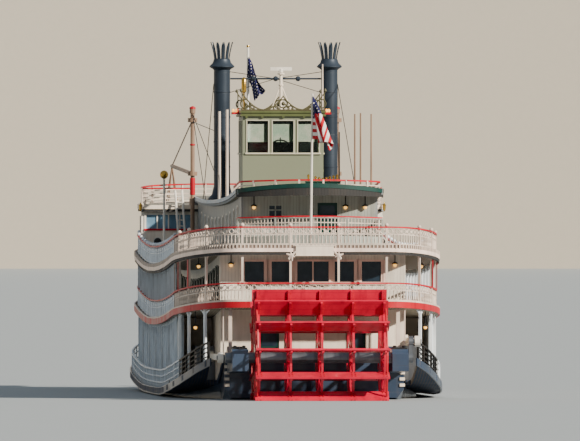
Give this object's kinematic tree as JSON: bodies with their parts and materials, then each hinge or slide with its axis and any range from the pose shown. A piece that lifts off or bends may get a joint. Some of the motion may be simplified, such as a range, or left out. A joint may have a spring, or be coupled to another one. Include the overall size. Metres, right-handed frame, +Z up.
{
  "type": "sternwheel paddle steamer, 1:10 scale model",
  "caption": "Sternwheel river paddle steamer as a 1:10 scale model, with stacked decks, pilothouse, tall twin stacks, turning paddle wheel, rudders and swinging landing stages.",
  "frame": {"origin": "middle of the boat's box on the flat of the hull's bottom", "axes": "+Y to the bow, +X to starboard, +Z up; the waterline is at z = 0.183 m"},
  "size_m": [1.56, 8.3195, 2.243],
  "materials": {
    "hull_paint": "satin",
    "deck_paint": "matte",
    "white_paint": "satin",
    "red_paint": "satin",
    "roof_paint": "satin",
    "sage_paint": "satin",
    "stack_paint": "satin",
    "engine_steel": "satin",
    "brass": "polished",
    "wood": "varnished",
    "flag_cloth": "matte",
    "window_glass": "polished"
  },
  "bodies": {
    "boat": {"hull": "hull_paint", "main_deck": "deck_paint", "wheel_beam_port": "hull_paint", "wheel_beam_starboard": "hull_paint", "engine_port": "engine_steel", "engine_starboard": "engine_steel", "boiler": "engine_steel", "main_house_port": "white_paint", "main_house_starboard": "white_paint", "main_house_aft": "white_paint", "main_house_fore": "white_paint", "main_rail_port": "white_paint", "main_rail_starboard": "white_paint", "boiler_deck": "red_paint", "boiler_cabin_port": "white_paint", "boiler_cabin_starboard": "white_paint", "boiler_cabin_aft": "white_paint", "boiler_cabin_fore": "white_paint", "boiler_rail_port": "white_paint", "boiler_rail_starboard": "white_paint", "boiler_rail_aft": "white_paint", "hurricane_deck": "white_paint", "hurricane_rail_port": "white_paint", "hurricane_rail_starboard": "white_paint", "hurricane_rail_aft": "white_paint", "skylight_deck": "white_paint", "texas_house_port": "white_paint", "texas_house_starboard": "white_paint", "texas_house_aft": "white_paint", "lounge_port": "white_paint", "lounge_starboard": "white_paint", "lounge_fore": "white_paint", "lounge_aft": "white_paint", "texas_roof": "roof_paint", "roof_rail_port": "white_paint", "roof_rail_starboard": "white_paint", "roof_rail_aft": "white_paint", "pilothouse": "white_paint", "pilothouse_roof": "sage_paint", "stack_port": "stack_paint", "stack_starboard": "stack_paint", "stack_spreader": "stack_paint", "calliope": "brass", "jackstaff": "white_paint", "verge_staff": "white_paint", "stage_mast_port": "white_paint", "stage_mast_starboard": "white_paint", "flag_ensign": "flag_cloth", "flag_jack": "flag_cloth", "bow_stairs": "wood"},
    "wheel": {"paddle_wheel": "red_paint", "wheel_shaft": "engine_steel"},
    "pitman_port": {"pitman_port": "white_paint"},
    "pitman_starboard": {"pitman_starboard": "white_paint"},
    "rudder_port": {"rudder_port": "hull_paint"},
    "rudder_starboard": {"rudder_starboard": "hull_paint"},
    "stage_port": {"landing_stage_port": "wood"},
    "stage_starboard": {"landing_stage_starboard": "wood"},
    "scanner": {"radar_scanner": "white_paint"},
    "door": {"pilothouse_door": "sage_paint"}
  },
  "joints": [
    {"name": "wheel_spin", "type": "hinge", "parent": "boat", "child": "wheel", "pos_m": [0, -3.78, 0.418], "axis": [1, 0, 0], "continuous": true},
    {"name": "pitman_port_turn", "type": "hinge", "parent": "wheel", "child": "pitman_port", "pos_m": [-0.54, -3.69, 0.418], "axis": [1, 0, 0], "continuous": true},
    {"name": "pitman_starboard_turn", "type": "hinge", "parent": "wheel", "child": "pitman_starboard", "pos_m": [0.54, -3.78, 0.508], "axis": [1, 0, 0], "continuous": true},
    {"name": "rudder_turn", "type": "hinge", "parent": "boat", "child": "rudder_port", "pos_m": [-0.26, -3.18, 0.1], "axis": [0, 0, 1], "range_deg": [-40, 40]},
    {"name": "rudder_starboard_turn", "type": "hinge", "parent": "boat", "child": "rudder_starboard", "pos_m": [0.26, -3.18, 0.1], "axis": [0, 0, 1], "range_deg": [-40, 40]},
    {"name": "stage_port_swing", "type": "hinge", "parent": "boat", "child": "stage_port", "pos_m": [-0.425, 1.77, 1.458], "axis": [0, 0, 1], "range_deg": [-8, 80]},
    {"name": "stage_starboard_swing", "type": "hinge", "parent": "boat", "child": "stage_starboard", "pos_m": [0.425, 1.77, 1.458], "axis": [0, 0, -1], "range_deg": [-8, 80]},
    {"name": "scanner_spin", "type": "hinge", "parent": "boat", "child": "scanner", "pos_m": [0, 0.04, 2.033], "axis": [0, 0, 1], "continuous": true},
    {"name": "door_swing", "type": "hinge", "parent": "boat", "child": "door", "pos_m": [0.236, -0.054, 1.398], "axis": [0, 0, 1], "range_deg": [0, 95]}
  ],
  "couplings": [
    {"joint": "pitman_port_turn", "follows": "wheel_spin", "ratio": -1},
    {"joint": "pitman_starboard_turn", "follows": "wheel_spin", "ratio": -1},
    {"joint": "rudder_starboard_turn", "follows": "rudder_turn", "ratio": 1}
  ]
}
